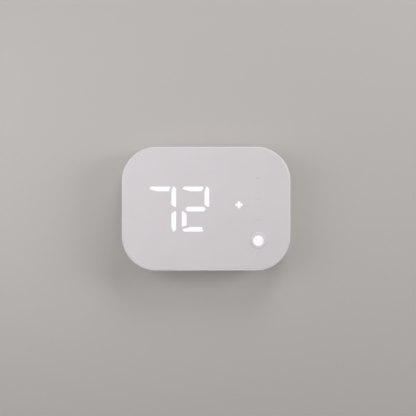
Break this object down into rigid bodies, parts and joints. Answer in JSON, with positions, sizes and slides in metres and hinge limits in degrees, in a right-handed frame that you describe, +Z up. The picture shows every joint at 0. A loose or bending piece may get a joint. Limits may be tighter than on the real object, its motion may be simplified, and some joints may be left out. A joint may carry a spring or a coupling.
{
  "type": "wall thermostat",
  "caption": "Flat rounded white wall thermostat with a lit seven-segment display and a lit push button, plugged onto a screwed wall plate with push-in wire terminals.",
  "frame": {"origin": "on the wall plane, midway between the two wall screw slots", "axes": "+X to the right and +Z up as seen from the room, +Y into the wall"},
  "size_m": [0.125, 0.0218, 0.0916],
  "materials": {
    "white_shell": "fine matt moulded white",
    "faint_mark": "matt white, a touch darker than the face",
    "lit_window": "translucent white, lit from behind",
    "white_button": "satin moulded white",
    "rear_shell": "matt moulded white",
    "black_film": "printed black film",
    "reflector": "bright white moulding",
    "circuit_board": "green solder mask",
    "led_package": "white package with a yellow phosphor",
    "black_plastic": "black moulded plastic",
    "screw_steel": "zinc-plated steel",
    "pin_metal": "plated brass",
    "relay_case": "pale moulded case",
    "capacitor_sleeve": "dark sleeve",
    "ferrite": "dark ferrite",
    "shield_metal": "tinned steel can",
    "chip_package": "black epoxy",
    "plate_shell": "matt moulded white",
    "terminal_body": "matt moulded pale grey",
    "contact_brass": "bare brass",
    "spring_steel": "spring steel",
    "slider_plastic": "dark grey moulded plastic",
    "lever_plastic": "mid grey moulded plastic"
  },
  "bodies": {
    "wall_plate": {"wall_plate": "plate_shell", "terminal_block_left": "terminal_body", "terminal_block_right": "terminal_body", "terminal_contacts": "contact_brass", "terminal_springs": "spring_steel", "jumper_housing": "terminal_body", "jumper_contacts": "contact_brass"},
    "unit": {"front_cover": "white_shell", "dark_segments": "white_shell", "dark_icons": "faint_mark", "lit_segments": "lit_window", "plus_icon": "lit_window", "rear_housing": "rear_shell", "display_mask": "black_film", "segment_reflector": "reflector", "mark_reflector": "reflector", "main_board": "circuit_board", "radio_module": "circuit_board", "segment_leds": "led_package", "icon_leds": "led_package", "switch_body": "black_plastic", "case_screws": "screw_steel", "board_screws": "screw_steel", "pin_headers": "black_plastic", "contact_pins": "pin_metal", "relays": "relay_case", "capacitor": "capacitor_sleeve", "inductor": "ferrite", "radio_shield": "shield_metal", "control_chips": "chip_package", "temperature_sensor": "chip_package"},
    "mode_button": {"mode_button": "white_button", "button_lens": "lit_window", "switch_plunger": "black_plastic"},
    "jumper_slider": {"jumper_slider": "slider_plastic"},
    "terminal_lever_1": {"terminal_lever_1": "lever_plastic"},
    "terminal_lever_2": {"terminal_lever_2": "lever_plastic"},
    "terminal_lever_3": {"terminal_lever_3": "lever_plastic"},
    "terminal_lever_4": {"terminal_lever_4": "lever_plastic"},
    "terminal_lever_5": {"terminal_lever_5": "lever_plastic"},
    "terminal_lever_6": {"terminal_lever_6": "lever_plastic"},
    "terminal_lever_7": {"terminal_lever_7": "lever_plastic"},
    "terminal_lever_8": {"terminal_lever_8": "lever_plastic"}
  },
  "joints": [
    {"name": "unit_pull_off", "type": "slide", "parent": "wall_plate", "child": "unit", "axis": [0, -1, 0], "range_m": [0, 0.03]},
    {"name": "mode_button_press", "type": "slide", "parent": "unit", "child": "mode_button", "axis": [0, 1, 0], "range_m": [0, 0.0005], "stiffness_N_per_m": 1500},
    {"name": "jumper_slide", "type": "slide", "parent": "wall_plate", "child": "jumper_slider", "axis": [1, 0, 0], "range_m": [0, 0.004]},
    {"name": "terminal_lever_1_press", "type": "hinge", "parent": "wall_plate", "child": "terminal_lever_1", "pos_m": [-0.027, -0.0053, 0.015], "axis": [0, 0, -1], "range_deg": [0, 12], "stiffness_Nm_per_rad": 0.05},
    {"name": "terminal_lever_2_press", "type": "hinge", "parent": "wall_plate", "child": "terminal_lever_2", "pos_m": [-0.027, -0.0053, 0.005], "axis": [0, 0, -1], "range_deg": [0, 12], "stiffness_Nm_per_rad": 0.05},
    {"name": "terminal_lever_3_press", "type": "hinge", "parent": "wall_plate", "child": "terminal_lever_3", "pos_m": [-0.027, -0.0053, -0.005], "axis": [0, 0, -1], "range_deg": [0, 12], "stiffness_Nm_per_rad": 0.05},
    {"name": "terminal_lever_4_press", "type": "hinge", "parent": "wall_plate", "child": "terminal_lever_4", "pos_m": [-0.027, -0.0053, -0.015], "axis": [0, 0, -1], "range_deg": [0, 12], "stiffness_Nm_per_rad": 0.05},
    {"name": "terminal_lever_5_press", "type": "hinge", "parent": "wall_plate", "child": "terminal_lever_5", "pos_m": [0.027, -0.0053, 0.015], "axis": [0, 0, 1], "range_deg": [0, 12], "stiffness_Nm_per_rad": 0.05},
    {"name": "terminal_lever_6_press", "type": "hinge", "parent": "wall_plate", "child": "terminal_lever_6", "pos_m": [0.027, -0.0053, 0.005], "axis": [0, 0, 1], "range_deg": [0, 12], "stiffness_Nm_per_rad": 0.05},
    {"name": "terminal_lever_7_press", "type": "hinge", "parent": "wall_plate", "child": "terminal_lever_7", "pos_m": [0.027, -0.0053, -0.005], "axis": [0, 0, 1], "range_deg": [0, 12], "stiffness_Nm_per_rad": 0.05},
    {"name": "terminal_lever_8_press", "type": "hinge", "parent": "wall_plate", "child": "terminal_lever_8", "pos_m": [0.027, -0.0053, -0.015], "axis": [0, 0, 1], "range_deg": [0, 12], "stiffness_Nm_per_rad": 0.05}
  ]
}
